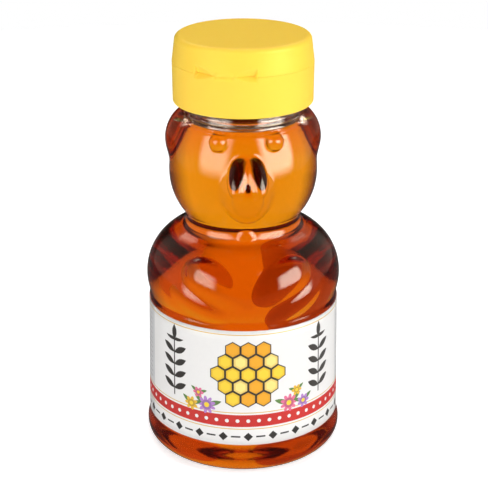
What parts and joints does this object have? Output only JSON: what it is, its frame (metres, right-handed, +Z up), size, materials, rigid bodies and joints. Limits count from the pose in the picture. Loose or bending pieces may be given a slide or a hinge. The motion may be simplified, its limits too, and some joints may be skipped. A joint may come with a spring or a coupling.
{
  "type": "honey bear bottle",
  "caption": "Clear bear-shaped squeeze jar filled with honey, with a wrap-round label and a yellow screw closure with a flip-up lid.",
  "frame": {"origin": "on the surface it stands on, under the middle of the base", "axes": "+Z up through the closure, -Y the way the bear's face looks"},
  "size_m": [0.064, 0.064, 0.1365],
  "materials": {
    "clear_plastic": "clear, glossy blown plastic",
    "honey": "clear amber liquid",
    "label_paper": "coated paper with a printed pattern",
    "liner_foam": "soft closed foam",
    "cap_plastic": "satin moulded plastic"
  },
  "bodies": {
    "jar": {"bottle": "clear_plastic", "honey": "honey", "label": "label_paper"},
    "liner": {"liner": "liner_foam"},
    "closure": {"cap_body": "cap_plastic", "living_hinge": "cap_plastic"},
    "lid": {"lid": "cap_plastic"}
  },
  "joints": [
    {"name": "cap_rise", "type": "slide", "parent": "jar", "child": "liner", "axis": [0, 0, 1], "range_m": [0, 0.01271]},
    {"name": "cap_turn", "type": "hinge", "parent": "liner", "child": "closure", "pos_m": [0, 0, 0.12826], "axis": [0, 0, 1], "range_deg": [0, 1080]},
    {"name": "lid_hinge", "type": "hinge", "parent": "closure", "child": "lid", "pos_m": [0.00668, 0.02054, 0.12826], "axis": [-0.9511, 0.309, 0], "range_deg": [0, 180], "deforming": ["living_hinge"]}
  ],
  "couplings": [
    {"joint": "cap_rise", "follows": "cap_turn", "m_per_rad": 0.00067376}
  ]
}
